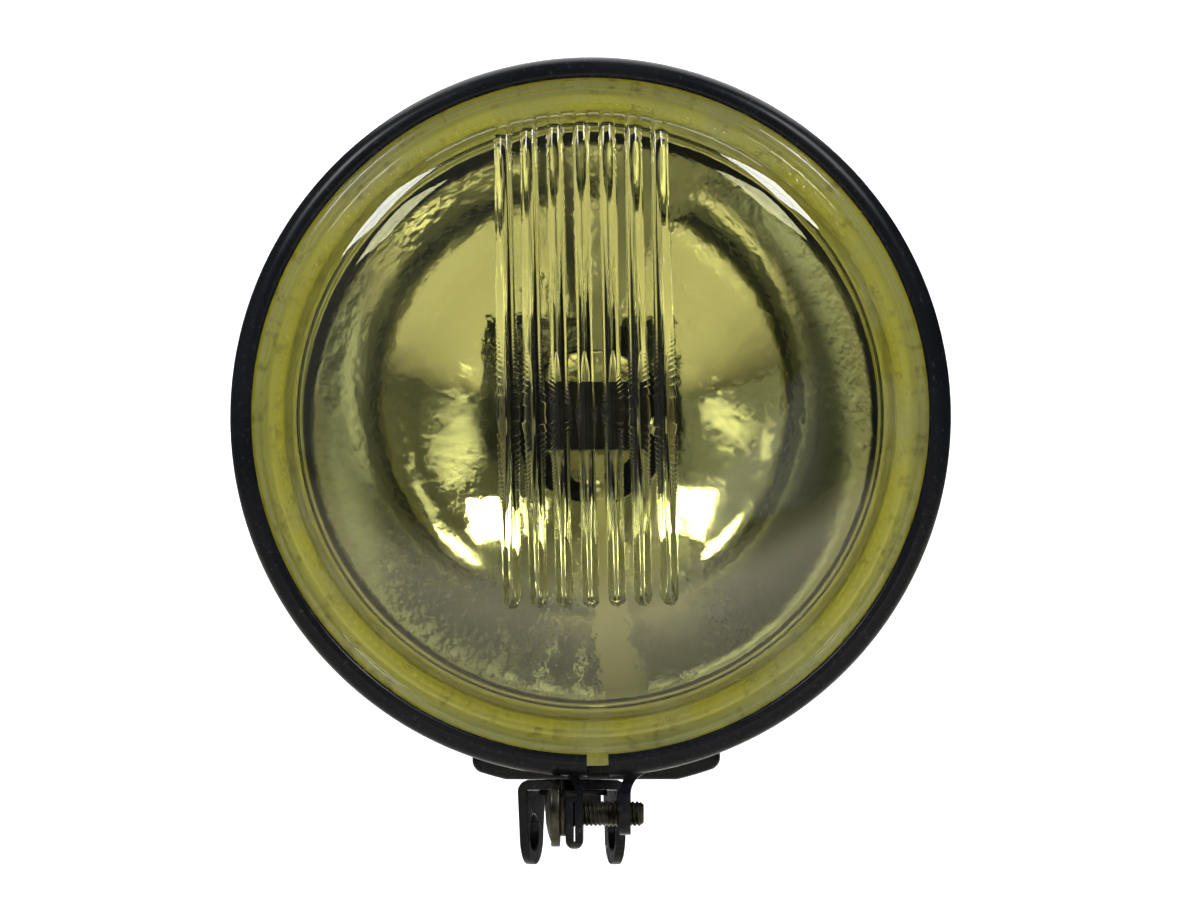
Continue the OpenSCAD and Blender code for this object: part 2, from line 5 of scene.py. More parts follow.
import bmesh
import bpy
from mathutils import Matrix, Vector


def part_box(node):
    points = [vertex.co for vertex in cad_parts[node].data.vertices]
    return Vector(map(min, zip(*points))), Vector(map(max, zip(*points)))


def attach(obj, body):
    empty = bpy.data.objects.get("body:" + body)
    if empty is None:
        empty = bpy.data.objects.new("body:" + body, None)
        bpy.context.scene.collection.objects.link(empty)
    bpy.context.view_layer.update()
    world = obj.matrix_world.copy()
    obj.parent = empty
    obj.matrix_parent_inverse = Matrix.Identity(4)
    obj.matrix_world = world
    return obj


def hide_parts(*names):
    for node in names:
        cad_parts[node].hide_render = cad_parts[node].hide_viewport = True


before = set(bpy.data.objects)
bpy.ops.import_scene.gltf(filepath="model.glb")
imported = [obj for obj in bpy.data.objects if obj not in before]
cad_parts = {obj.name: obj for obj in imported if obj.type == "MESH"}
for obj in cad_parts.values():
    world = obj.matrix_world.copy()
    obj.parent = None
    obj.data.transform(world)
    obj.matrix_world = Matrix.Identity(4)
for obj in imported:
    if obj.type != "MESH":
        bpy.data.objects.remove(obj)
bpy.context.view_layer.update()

MM = 0.001
FLOOR_Z = -0.3  # the floor's height in metres


# ---- Where things are --------------------------------------------------------------------------

lens_low, lens_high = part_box("lens")
LENS_BACK = -1.2  # mm behind the rim's middle plane
CENTRE = Vector((
    (lens_low.x + lens_high.x) / 2,
    lens_high.y - LENS_BACK * MM,
    (lens_low.z + lens_high.z) / 2,
))
CLOCKING = math.radians(1.3)

# The lamp's own sizes, in mm. Distances "at" are measured behind the rim's middle plane.
RIM_R = 83.0
WINDOW_R = 78.0
RIM_FRONT = -7.0
RIM_BACK = 4.0
SHEET = 1.2
SPLIT_W = 5.2
LENS_R = 80.4
LENS_FACE = -5.8
DOME_R = 70.5
DOME_H = 11.5
INNER_R = 67.2
INNER_H = 12.6
FLUTES = 7
FLUTE_PITCH = 5.96
FLUTE_W = 3.4
FLUTE_H = 1.3
FLUTE_TOP_R = 70.3
FLUTE_BOTTOM = -43.7
FLUTE_SHIFT = -0.5
FOCAL = 28.4
MIRROR_R = 68.0
MIRROR_AT = 0.8
FLAT_R = 18.0
VERTEX_AT = MIRROR_AT + MIRROR_R**2 / (4 * FOCAL)
CLAMP_AT = (RIM_FRONT + RIM_BACK) / 2
CLAMP_DROP = 91.4  # from the lamp's axis down to the clamp screw's
LEFT_EAR = (-5.6, -1.6)  # the sideways extent of each ear of the rim
RIGHT_EAR = (6.8, 9.3)
SCREW_R = 2.95
WASHER_T = 1.2
BOWL_R = 71.0  # outside of the housing's wall


# ---- Mesh helpers ------------------------------------------------------------------------------

def lamp_point(x, at, z):
    """A point in the row frame: mm sideways, rearward and upward from the lamp's centre."""
    return CENTRE + Vector((x, at, z)) * MM


def make_object(
    name, vertices, faces, material, body="lamp", replaces=(), smooth_angle=35, ride=True
):
    """A mesh object riding on a body, smooth up to an angle."""
    mesh = bpy.data.meshes.new(name)
    mesh.from_pydata([tuple(v) for v in vertices], [], faces)
    mesh.validate()
    work = bmesh.new()
    work.from_mesh(mesh)
    bmesh.ops.recalc_face_normals(work, faces=work.faces)
    work.to_mesh(mesh)
    work.free()
    obj = bpy.data.objects.new(name, mesh)
    bpy.context.scene.collection.objects.link(obj)
    mesh.materials.append(material)
    mesh.shade_smooth()
    mesh.set_sharp_from_angle(angle=math.radians(smooth_angle))
    if ride:
        settle(obj, body, replaces)
    return obj


def settle(obj, body, replaces=()):
    """Hides the CAD parts that a finished piece replaces, and fixes the piece to its body."""
    if replaces:
        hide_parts(*replaces)
    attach(obj, body)


def extrude(name, outline, axis, start, end, material):
    """A prism: an outline pushed along an axis ("x" or "y"), in mm from the lamp's centre.

    The outline's points give the two other coordinates.
    """
    vertices = []
    for along in (start, end):
        for a, b in outline:
            vertices.append({"x": lamp_point(along, a, b), "y": lamp_point(a, along, b)}[axis])
    n = len(outline)
    faces = [tuple(range(n)), tuple(range(n, 2 * n))]
    faces += [(i, (i + 1) % n, n + (i + 1) % n, n + i) for i in range(n)]
    return make_object(name, vertices, faces, material, ride=False)


def combine(obj, other, operation):
    """Joins, cuts or intersects obj with other, which is used up."""
    modifier = obj.modifiers.new("combine", "BOOLEAN")
    modifier.operation = operation
    modifier.solver = "EXACT"
    modifier.object = other
    bake(obj)
    mesh = other.data
    bpy.data.objects.remove(other)
    bpy.data.meshes.remove(mesh)


def bake(obj):
    """Puts the modifiers' result into the mesh."""
    shown = obj.evaluated_get(bpy.context.evaluated_depsgraph_get())
    mesh = bpy.data.meshes.new_from_object(shown)
    old = obj.data
    obj.modifiers.clear()
    obj.data = mesh
    bpy.data.meshes.remove(old)


def soften(obj, width, segments=3, angle=35):
    """Rounds the sharp edges of a baked mesh."""
    work = bmesh.new()
    work.from_mesh(obj.data)
    bmesh.ops.remove_doubles(work, verts=work.verts, dist=2e-6)
    bmesh.ops.dissolve_limit(work, angle_limit=math.radians(1), verts=work.verts, edges=work.edges)
    work.to_mesh(obj.data)
    work.free()
    modifier = obj.modifiers.new("soften", "BEVEL")
    modifier.width = width * MM
    modifier.segments = segments
    modifier.limit_method = "ANGLE"
    modifier.angle_limit = math.radians(angle)
    modifier.use_clamp_overlap = True
    bake(obj)
    obj.data.shade_smooth()
    obj.data.set_sharp_from_angle(angle=math.radians(50))


def round_lamp(radius, along, angle):
    """A point about the lamp's axis. Angle 0 is straight down and grows towards +X."""
    return lamp_point(radius * math.sin(angle), along, -radius * math.cos(angle))


def round_screw(radius, along, angle):
    """A point about the clamp screw's axis, which runs along X."""
    return lamp_point(
        along, CLAMP_AT + radius * math.cos(angle), -CLAMP_DROP + radius * math.sin(angle)
    )


def revolve(
    profile, segments, turn=0.0, closed=True, sweep=None, shape=None, poles=None, place=round_lamp
):
    """Vertices and faces of a profile of (radius, along) turned about an axis.

    sweep = (start, end) leaves a gap and caps its ends.
    shape(radius, along, angle, index) may move a point.
    poles = (along, along) closes an open profile with a point on the axis at each end.
    """
    start, end = sweep or (0.0, 2 * math.pi)
    rings = segments + 1 if sweep else segments
    vertices = []
    for i in range(rings):
        angle = start + (end - start) * i / segments
        for index, (radius, along) in enumerate(profile):
            if shape:
                radius, along = shape(radius, along, angle, index)
            vertices.append(place(radius, along, angle + turn))
    count = len(profile)
    faces = []
    for i in range(segments):
        this, after = i * count, ((i + 1) % rings) * count
        for j in range(count if closed else count - 1):
            k = (j + 1) % count
            faces.append((this + j, this + k, after + k, after + j))
    if sweep and closed:
        faces.append(tuple(range(count)))
        faces.append(tuple(segments * count + j for j in range(count)))
    for along, index in zip(poles or (), (0, count - 1)):
        vertices.append(place(0.0, along, 0.0))
        pole = len(vertices) - 1
        for i in range(segments):
            faces.append((i * count + index, ((i + 1) % segments) * count + index, pole))
    return vertices, faces


def arc(centre, radius, start, end, steps):
    """Points on an arc about centre, angles in degrees."""
    points = []
    for i in range(steps + 1):
        angle = math.radians(start + (end - start) * i / steps)
        points.append((centre[0] + radius * math.cos(angle), centre[1] + radius * math.sin(angle)))
    return points


# ---- Material helpers --------------------------------------------------------------------------

def set_range(node, start, end, low, high):
    """Sets what a Map Range node maps from and to."""
    for name, number in (
        ("From Min", start), ("From Max", end), ("To Min", low), ("To Max", high),
    ):
        node.inputs[name].default_value = number


class Paint:
    """A procedural material on one Principled shader."""

    def __init__(self, name, **sockets):
        self.material = bpy.data.materials.new(name)
        self.material.use_nodes = True
        self.tree = self.material.node_tree
        self.shader = self.tree.nodes["Principled BSDF"]
        for socket, value in sockets.items():
            self.shader.inputs[socket.replace("_", " ")].default_value = value
        self.place = self.node("ShaderNodeTexCoord").outputs["Object"]

    def node(self, kind, **settings):
        node = self.tree.nodes.new(kind)
        for key, value in settings.items():
            setattr(node, key, value)
        return node

    def link(self, source, target):
        self.tree.links.new(source, target)

    def noise(self, size, detail=3.0):
        """Noise whose features are about size metres across."""
        node = self.node("ShaderNodeTexNoise")
        node.inputs["Scale"].default_value = 1 / size
        node.inputs["Detail"].default_value = detail
        self.link(self.place, node.inputs["Vector"])
        return node.outputs["Fac"]

    def ramp(self, value, low, high, start=0.0, end=1.0):
        """Maps value from start..end to low..high, held at the ends."""
        node = self.node("ShaderNodeMapRange")
        set_range(node, start, end, low, high)
        self.link(value, node.inputs["Value"])
        return node.outputs["Result"]

    def from_axis(self):
        """Distance from the lamp's axis, in metres."""
        shifted = self.node("ShaderNodeVectorMath", operation="SUBTRACT")
        shifted.inputs[1].default_value = CENTRE
        self.link(self.place, shifted.inputs[0])
        flat = self.node("ShaderNodeVectorMath", operation="MULTIPLY")
        flat.inputs[1].default_value = (1, 0, 1)
        self.link(shifted.outputs["Vector"], flat.inputs[0])
        length = self.node("ShaderNodeVectorMath", operation="LENGTH")
        self.link(flat.outputs["Vector"], length.inputs[0])
        return length.outputs["Value"]

    def blend(self, factor, first, second):
        """A colour between two colours."""
        node = self.node("ShaderNodeMix", data_type="RGBA")
        for name, colour in (("A", first), ("B", second)):
            socket = [s for s in node.inputs if s.name == name and s.type == "RGBA"][0]
            if isinstance(colour, tuple):
                socket.default_value = (*colour, 1)
            else:
                self.link(colour, socket)
        self.link(factor, node.inputs["Factor"])
        return [s for s in node.outputs if s.type == "RGBA"][0]

    def bump(self, value, distance, strength):
        """A normal that value raises by up to distance metres."""
        node = self.node("ShaderNodeBump")
        node.inputs["Distance"].default_value = distance
        node.inputs["Strength"].default_value = strength
        self.link(value, node.inputs["Height"])
        return node.outputs["Normal"]

    def drive(self, socket, source):
        self.link(source, self.shader.inputs[socket])


# ---- Materials ---------------------------------------------------------------------------------

def black_paint():
    """Semi-gloss stoving paint with orange peel and specks of dust."""
    paint = Paint("black_paint", IOR=1.5, Specular_IOR_Level=0.16)
    patches = paint.noise(0.018, 4)
    dust = paint.ramp(paint.noise(0.0012, 2), 0.0, 1.0, 0.62, 0.78)
    clean = paint.blend(patches, (0.004, 0.005, 0.007), (0.008, 0.009, 0.013))
    paint.drive("Base Color", paint.blend(dust, clean, (0.03, 0.032, 0.036)))
    paint.drive("Roughness", paint.ramp(patches, 0.2, 0.34, 0.3, 0.7))
    paint.drive("Normal", paint.bump(paint.noise(0.0016, 2), 0.00002, 0.6))
    return paint.material


def yellow_glass():
    """Pressed yellow glass, slightly wavy from the mould."""
    paint = Paint("yellow_glass", Transmission_Weight=1.0, IOR=1.5, Roughness=0.0)
    wave = paint.noise(0.02, 2)
    paint.drive("Base Color", paint.blend(wave, (0.945, 0.935, 0.50), (0.96, 0.95, 0.57)))
    paint.drive("Normal", paint.bump(paint.noise(0.006, 2), 0.00006, 0.5))
    return paint.material


def seat_glass():
    """The matt rear face of the glass flange: its yellow, with painted highlight rings where the
    flange's ridges catch the light.
    """
    paint = Paint("yellow_glass_seat")
    # Painted highlight rings: the yellow is paler and brighter near 73 and 76 mm, where the ridges
    # catch the light, and darker towards the inner edge.
    yellow_and_highlight_rings = paint.node("ShaderNodeValToRGB")
    first, last = 68.0, 82.0  # mm from the lamp's axis
    stops = (
        (69.0, (0.50, 0.48, 0.08)), (71.5, (0.78, 0.76, 0.12)), (73.2, (0.96, 0.95, 0.28)),
        (74.6, (0.84, 0.84, 0.30)), (76.4, (0.90, 0.92, 0.55)), (77.4, (0.90, 0.86, 0.14)),
        (80.0, (0.75, 0.70, 0.09)),
    )
    elements = yellow_and_highlight_rings.color_ramp.elements
    while len(elements) < len(stops):
        elements.new(0.5)
    for element, (radius, colour) in zip(elements, stops):
        element.position = (radius - first) / (last - first)
        element.color = (*colour, 1)
    along = paint.ramp(paint.from_axis(), 0, 1, first * MM, last * MM)
    paint.link(along, yellow_and_highlight_rings.inputs["Fac"])
    dirt = paint.ramp(paint.noise(0.003, 4), 0.0, 0.6, 0.55, 0.8)
    # Paler grey-green in large cloudy patches.
    cloud = paint.ramp(paint.noise(0.028, 3), 0.0, 0.7, 0.48, 0.66)
    pale_clouded = paint.blend(cloud, yellow_and_highlight_rings.outputs["Color"], (0.70, 0.73, 0.52))
    paint.drive("Base Color", paint.blend(dirt, pale_clouded, (0.22, 0.2, 0.04)))
    paint.drive("Roughness", paint.ramp(paint.noise(0.002), 0.4, 0.7))
    return paint.material


def plated():
    """Zinc plating gone dull and olive."""
    paint = Paint("plated_screw", Metallic=0.9)
    patches = paint.noise(0.0025, 5)
    grime = paint.ramp(paint.noise(0.004, 3), 0, 1, 0.45, 0.65)
    clean = paint.blend(patches, (0.05, 0.047, 0.033), (0.12, 0.113, 0.085))
    paint.drive("Base Color", paint.blend(grime, clean, (0.02, 0.018, 0.012)))
    paint.drive("Roughness", paint.ramp(patches, 0.3, 0.5, 0.3, 0.7))
    return paint.material


def mirror():
    """Vacuum-metallised mirror on slightly wavy sheet."""
    paint = Paint("mirror", Metallic=1.0)
    patches = paint.noise(0.03, 3)
    paint.drive("Base Color", paint.blend(patches, (0.84, 0.85, 0.84), (0.9, 0.91, 0.9)))
    paint.drive("Roughness", paint.ramp(patches, 0.02, 0.07, 0.3, 0.7))
    paint.drive("Normal", paint.bump(paint.noise(0.004, 2), 0.00004, 0.5))
    return paint.material


def zinc():
    """Dull yellowish zinc plating."""
    paint = Paint("zinc", Metallic=1.0)
    patches = paint.noise(0.003, 4)
    paint.drive("Base Color", paint.blend(patches, (0.36, 0.34, 0.24), (0.52, 0.50, 0.40)))
    paint.drive("Roughness", paint.ramp(patches, 0.34, 0.55, 0.3, 0.7))
    paint.drive("Normal", paint.bump(paint.noise(0.0006, 3), 0.00001, 0.5))
    return paint.material


def dark_steel():
    """Blackened steel."""
    paint = Paint("dark_steel", Metallic=0.6)
    patches = paint.noise(0.003, 4)
    paint.drive("Base Color", paint.blend(patches, (0.02, 0.02, 0.022), (0.05, 0.048, 0.045)))
    paint.drive("Roughness", paint.ramp(patches, 0.35, 0.6, 0.3, 0.7))
    return paint.material


def rubber(name, low, high):
    """A dull grained surface between two colours, which also serves for ceramic."""
    paint = Paint(name)
    patches = paint.noise(0.004, 5)
    paint.drive("Base Color", paint.blend(patches, low, high))
    paint.drive("Roughness", paint.ramp(patches, 0.6, 0.85, 0.3, 0.7))
    paint.drive("Normal", paint.bump(paint.noise(0.0004, 3), 0.00002, 0.5))
    return paint.material


def satin_metal(name, low, high):
    """Bare metal between two colours."""
    paint = Paint(name, Metallic=1.0)
    patches = paint.noise(0.002, 4)
    paint.drive("Base Color", paint.blend(patches, low, high))
    paint.drive("Roughness", paint.ramp(patches, 0.25, 0.42, 0.3, 0.7))
    return paint.material


def shield_paint():
    """Black paint on the cup, bare plated steel on the legs behind it."""
    paint = Paint("shield_black", Metallic=1.0)
    patches = paint.noise(0.003, 4)
    black = paint.blend(patches, (0.012, 0.012, 0.013), (0.03, 0.03, 0.031))
    bare = paint.blend(patches, (0.55, 0.55, 0.53), (0.68, 0.68, 0.66))
    apart = paint.node("ShaderNodeSeparateXYZ")
    paint.link(paint.place, apart.inputs["Vector"])
    painted_to = CENTRE.y + 0.003
    legs = paint.ramp(apart.outputs["Y"], 0.0, 1.0, painted_to, painted_to + 0.0002)
    paint.drive("Base Color", paint.blend(legs, black, bare))
    paint.drive("Roughness", paint.ramp(patches, 0.35, 0.55, 0.3, 0.7))
    return paint.material


def clear_glass():
    """The bulb's quartz glass."""
    paint = Paint("clear_glass", Transmission_Weight=1.0, IOR=1.46, Roughness=0.0)
    paint.drive("Base Color", paint.blend(paint.noise(0.01), (0.97, 0.98, 0.98), (1.0, 1.0, 1.0)))
    return paint.material


BLACK = black_paint()
GLASS = yellow_glass()
MIRROR = mirror()
ZINC = zinc()
DARK_STEEL = dark_steel()
RUBBER = rubber("rubber", (0.012, 0.012, 0.012), (0.03, 0.03, 0.03))
GASKET = rubber("gasket_rubber", (0.5, 0.49, 0.44), (0.62, 0.61, 0.56))
SEAT_GLASS = seat_glass()
PLATED = plated()
SHIELD = shield_paint()
RIVET = satin_metal("rivet_aluminium", (0.5, 0.5, 0.5), (0.68, 0.68, 0.68))
SPRING = satin_metal("spring_steel", (0.4, 0.4, 0.4), (0.6, 0.6, 0.6))
BRASS = satin_metal("brass", (0.6, 0.46, 0.2), (0.78, 0.62, 0.3))
CERAMIC = rubber("ceramic", (0.7, 0.68, 0.62), (0.82, 0.8, 0.75))
CLEAR = clear_glass()


# ---- Lens --------------------------------------------------------------------------------------

def dome_out(radius):
    """How far behind the rim's middle plane the glass's outer face lies."""
    return LENS_FACE - DOME_H * max(0.0, 1 - (radius / DOME_R) ** 2) ** 0.313


def dome_in(radius):
    """The same for its inner face."""
    return LENS_BACK - INNER_H * max(0.0, 1 - (radius / INNER_R) ** 2) ** 0.25


def flute_height(x, z):
    """Height of the nearest flute over the dome: a half-round bar with round ends."""
    half = FLUTE_W / 2
    index = round((x - FLUTE_SHIFT) / FLUTE_PITCH)
    index = max(-(FLUTES // 2), min(FLUTES // 2, index))
    middle = index * FLUTE_PITCH + FLUTE_SHIFT
    top = math.sqrt(FLUTE_TOP_R**2 - middle**2) - half
    bottom = FLUTE_BOTTOM + half
    away = math.hypot(x - middle, z - min(max(z, bottom), top))
    if away >= half:
        return 0.0
    return FLUTE_H * math.sqrt(1 - (away / half) ** 2)


def flange_height(radius, angle):
    """Moulded detail of the lens's flange: fine teeth, a thin bead, a wide bead and a nub on top."""
    teeth_r, teeth_half, teeth_h, teeth = 71.7, 0.5, 0.3, 200
    bead_r, bead_half, bead_h = 73.2, 0.6, 0.3
    swell_r, swell_half, swell_h = 76.2, 1.2, 0.55
    nub_r, nub_aside, nub_half, nub_h = 74.6, 0.8, 1.4, 0.5
    height = 0.0
    if abs(radius - teeth_r) < teeth_half:
        across = math.cos((radius - teeth_r) / teeth_half * math.pi / 2)
        height += teeth_h * across * max(0.0, math.sin(angle * teeth))
    if abs(radius - bead_r) < bead_half:
        height += bead_h * math.sqrt(1 - ((radius - bead_r) / bead_half) ** 2)
    if abs(radius - swell_r) < swell_half:
        height += swell_h * (0.5 + 0.5 * math.cos((radius - swell_r) / swell_half * math.pi))
    nub = math.hypot((angle - math.pi) * radius - nub_aside, radius - nub_r)
    if nub < nub_half:
        height += nub_h * math.sqrt(1 - (nub / nub_half) ** 2)
    return height


def make_lens():
    """The glass, one closed shell: outer dome, flange, edge, rear seat and inner dome."""
    dome_steps, inner_steps = 170, 60
    flange_step, flange_steps = 0.15, 53
    edge, chamfer = 1.5, 0.4
    seat_at = LENS_BACK - 0.06  # clear of the gasket
    outer = [DOME_R * math.sin(math.pi / 2 * i / dome_steps) for i in range(1, dome_steps + 1)]
    flange = [DOME_R + flange_step * i for i in range(1, flange_steps + 1)]
    detailed = len(outer) + len(flange)
    profile = [(r, dome_out(r)) for r in outer] + [(r, LENS_FACE) for r in flange]
    profile += arc((LENS_R - edge, LENS_FACE + edge), edge, -90, 0, 6)
    profile += [(LENS_R, seat_at - chamfer), (LENS_R - chamfer, seat_at)]
    back_start = len(profile) - 1
    profile += [(r, seat_at) for r in range(79, 68, -1)]
    back_end = len(profile)
    inner = [INNER_R * math.sin(math.pi / 2 * i / inner_steps) for i in range(inner_steps, 0, -1)]
    profile += [(r, dome_in(r)) for r in inner]

    def shape(radius, at, angle, index):
        if index < len(outer):
            at -= flute_height(radius * math.sin(angle), -radius * math.cos(angle))
        elif index < detailed:
            at -= flange_height(radius, angle)
        return radius, at

    segments = 1440
    poles = (dome_out(0) - flute_height(0, 0), dome_in(0))
    vertices, faces = revolve(profile, segments, CLOCKING, closed=False, shape=shape, poles=poles)
    lens = make_object(
        "lens_glass", vertices, faces, GLASS, replaces=["lens"], smooth_angle=60
    )
    # The flange's rear face is matt where it sits on its gasket.
    lens.data.materials.append(SEAT_GLASS)
    rows = len(profile) - 1
    for face in lens.data.polygons[:segments * rows]:
        if back_start <= face.index % rows < back_end:
            face.material_index = 1
    return lens


# ---- Reflector ---------------------------------------------------------------------------------

def mirror_at(radius):
    """The parabola of the mirror's front face."""
    return VERTEX_AT - radius**2 / (4 * FOCAL)


def make_reflector():
    """Pressed mirror: a parabola between a flat flange and a flat land with the bulb's hole."""
    hole_r, flange_r = 11.5, 80.0
    flange_t, land_t, back_shift = 0.8, 1, 1.2
    front = [FLAT_R + (MIRROR_R - FLAT_R) * i / 100 for i in range(101)]
    back_r = math.sqrt(4 * FOCAL * (VERTEX_AT + back_shift - MIRROR_AT - flange_t))
    back = [back_r + (FLAT_R + land_t - back_r) * i / 50 for i in range(51)]
    flat_at = mirror_at(FLAT_R)
    profile = [(hole_r, flat_at)] + [(r, mirror_at(r)) for r in front]
    profile += [(flange_r, MIRROR_AT), (flange_r, MIRROR_AT + flange_t)]
    profile += [(r, mirror_at(r) + back_shift) for r in back]
    profile += [(FLAT_R, flat_at + land_t), (hole_r, flat_at + land_t)]
    vertices, faces = revolve(profile, 360)
    make_object(
        "reflector_mirror", vertices, faces, MIRROR, replaces=["reflector"],
        smooth_angle=30,
    )


# ---- Rim ---------------------------------------------------------------------------------------

def bend_path(ear_x, side, bend_r, thickness, bottom):
    """Centre line of an ear: it leaves the rim's wall, bends down and ends at a depth.

    The rim lies on the ear's left if side is -1, and on its right if side is 1.
    """
    wall_r = RIM_R - thickness / 2 - 0.02
    centre_x = ear_x + side * bend_r
    centre_z = -math.sqrt((wall_r + bend_r) ** 2 - centre_x**2)
    lead = math.asin(centre_x / (wall_r + bend_r))
    path = [
        (wall_r * math.sin(lead + side * a), -wall_r * math.cos(lead + side * a))
        for a in (0.045, 0.03, 0.015)
    ]
    first = math.degrees(math.atan2(-centre_z, -centre_x))
    path += arc((centre_x, centre_z), bend_r, first, 0 if side < 0 else 180, 12)
    return path + [(ear_x, bottom)]


def strip(path, thickness):
    """The outline of a sheet of even thickness that follows a path."""
    left, right = [], []
    for i, (x, z) in enumerate(path):
        before, after = path[max(i - 1, 0)], path[min(i + 1, len(path) - 1)]
        along = Vector((after[0] - before[0], after[1] - before[1])).normalized() * (thickness / 2)
        left.append((x - along.y, z + along.x))
        right.append((x + along.y, z - along.x))
    return left + right[::-1]


def make_ear(name, path, thickness, bottom, hole_r):
    """An ear: a bent strip, cut to a round end, with a hole for the clamp screw."""
    half = 5.3
    ear = extrude(name, strip(path, thickness), "y", CLAMP_AT - half, CLAMP_AT + half, BLACK)
    wall_front, wall_back = RIM_FRONT + 4, RIM_BACK - 1.6
    inside_rim, back_shoulder, back_root = -75, -85.2, -83.4
    left, right = -15, 20  # beyond both ears
    root = wall_front - (CLAMP_AT - half)
    tip = arc((CLAMP_AT, bottom + half), half, 180, 360, 40)
    tip += [(CLAMP_AT + half, back_shoulder), (wall_back, back_root)]
    tip += [(wall_back, inside_rim), (wall_front, inside_rim)]
    tip += arc((CLAMP_AT - half, -RIM_R), root, 0, -90, 8)
    combine(ear, extrude("tip", tip, "x", left, right, BLACK), "INTERSECT")
    hole = arc((CLAMP_AT, -CLAMP_DROP), hole_r, 0, 352.5, 47)
    combine(ear, extrude("hole", hole, "x", left, right, BLACK), "DIFFERENCE")
    soften(ear, 0.22)
    settle(ear, "lamp", ["clamp_rim"])


def make_rim():
    """Split channel ring about the glass and the housing's flange, and its two ears."""
    shoulder, lip = 4.0, 1.5
    bead, proud = 0.9, 0.15
    outer = arc((WINDOW_R + bead, RIM_FRONT + bead + proud), bead + proud, 180, 290, 8)
    outer += arc((RIM_R - shoulder, RIM_FRONT + shoulder), shoulder, -84, 0, 14)
    outer += arc((RIM_R - lip, RIM_BACK - lip), lip, 0, 90, 6)
    outer += [(WINDOW_R + 1.6, RIM_BACK)]
    inner = [(WINDOW_R + 1.6, RIM_BACK - SHEET)]
    inner += arc((RIM_R - lip, RIM_BACK - lip), lip - SHEET, 90, 0, 3)
    inner += arc((RIM_R - shoulder, RIM_FRONT + shoulder), shoulder - SHEET, 0, -90, 8)
    inner += [(WINDOW_R + 0.6, LENS_FACE)]
    half_gap = math.asin(SPLIT_W / 2 / RIM_R)
    vertices, faces = revolve(
        outer + inner, 512, CLOCKING, sweep=(half_gap, 2 * math.pi - half_gap)
    )
    make_object(
        "rim_ring", vertices, faces, BLACK, replaces=["clamp_rim"], smooth_angle=40
    )

    # The left ear is folded back on itself at its end.
    sheet, fold_r, bottom, fold_end = 1.8, 1.1, -99.6, -87.5
    fold_z = bottom + fold_r + sheet / 2
    path = bend_path(LEFT_EAR[1] - sheet / 2, -1, 4.3, sheet, fold_z)
    path += arc((path[-1][0] - fold_r, fold_z), fold_r, 0, -180, 10)[1:]
    path += [(path[-1][0], fold_end)]
    make_ear("rim_ear_left", path, sheet, bottom, 3.3)
    middle, sheet, bottom = sum(RIGHT_EAR) / 2, RIGHT_EAR[1] - RIGHT_EAR[0], -96.3
    make_ear("rim_ear_right", bend_path(middle, 1, 6.4, sheet, bottom), sheet, bottom, 2.99)


# ---- Clamp screw -------------------------------------------------------------------------------

def make_screw():
    """Slotted pan-head M6 screw with a real thread, and the washer under its head."""
    under_head = LEFT_EAR[0] - WASHER_T - 0.1
    head_r, head_h, edge_h, tip, pitch = 7.6, 3.4, 1.6, 12.3, 1.0
    thread_from = under_head + 0.8
    crown_r = (head_r**2 + (head_h - edge_h) ** 2) / (2 * (head_h - edge_h))
    crown = []
    for i in range(1, 15):
        radius = (head_r - 0.5) * i / 14
        crown.append((radius, under_head - head_h + crown_r - math.sqrt(crown_r**2 - radius**2)))
    profile = crown + arc((head_r - 0.45, under_head - edge_h - 0.1), 0.45, -80, 0, 4)
    profile += arc((head_r - 0.25, under_head - 0.25), 0.25, 0, 90, 3)
    profile += [(SCREW_R + 0.02, under_head), (SCREW_R - 0.35, under_head + 0.4)]
    smooth = len(profile)
    steps = round((tip - thread_from) / pitch * 10)
    profile += [(SCREW_R, thread_from + pitch * i / 10) for i in range(steps + 1)]
    profile += [(SCREW_R - 1.4, tip)]

    def thread(radius, along, angle, index):
        if index < smooth or index == len(profile) - 1:
            return radius, along
        phase = (along / pitch - angle / (2 * math.pi)) % 1
        depth = 0.45 * min(1.0, max(0.0, abs(phase - 0.5) * 2.5 - 0.15))
        chamfer = max(0.0, 1 - (tip - along) / 1.1) * 0.8
        run_in = min(1.0, (along - under_head - 0.4) / 1.2)
        return min(radius - depth * run_in, SCREW_R - chamfer), along

    poles = (under_head - head_h, tip)
    vertices, faces = revolve(
        profile, 72, closed=False, shape=thread, poles=poles, place=round_screw
    )
    screw = make_object("clamp_screw_threaded", vertices, faces, PLATED, ride=False)
    slot_half, slot_reach, slot_depth, turn = 0.6, 9, 1.4, math.radians(64)
    corners = []
    for u, v in (
        (-slot_reach, -slot_half), (slot_reach, -slot_half),
        (slot_reach, slot_half), (-slot_reach, slot_half),
    ):
        corners.append((
            CLAMP_AT + u * math.cos(turn) - v * math.sin(turn),
            -CLAMP_DROP + u * math.sin(turn) + v * math.cos(turn),
        ))
    top = under_head - head_h
    slot = extrude("slot", corners, "x", top - 1, top + slot_depth, PLATED)
    combine(screw, slot, "DIFFERENCE")
    screw.data.shade_smooth()
    screw.data.set_sharp_from_angle(angle=math.radians(40))
    settle(screw, "screw", ["clamp_screw"])

    back, washer_in, washer_out, corner = LEFT_EAR[0] - 0.05, 3.05, 5.2, 0.25
    middle = washer_out - corner
    washer = arc((middle, back - WASHER_T + corner), corner, -90, 0, 3)
    washer += arc((middle, back - corner), corner, 0, 90, 3)
    washer += [(washer_in, back), (washer_in, back - WASHER_T)]
    vertices, faces = revolve(washer, 96, place=round_screw)
    make_object(
        "clamp_washer_rounded", vertices, faces, PLATED, "screw_washer",
        ["clamp_washer"], smooth_angle=50,
    )


# ---- Housing and seat --------------------------------------------------------------------------

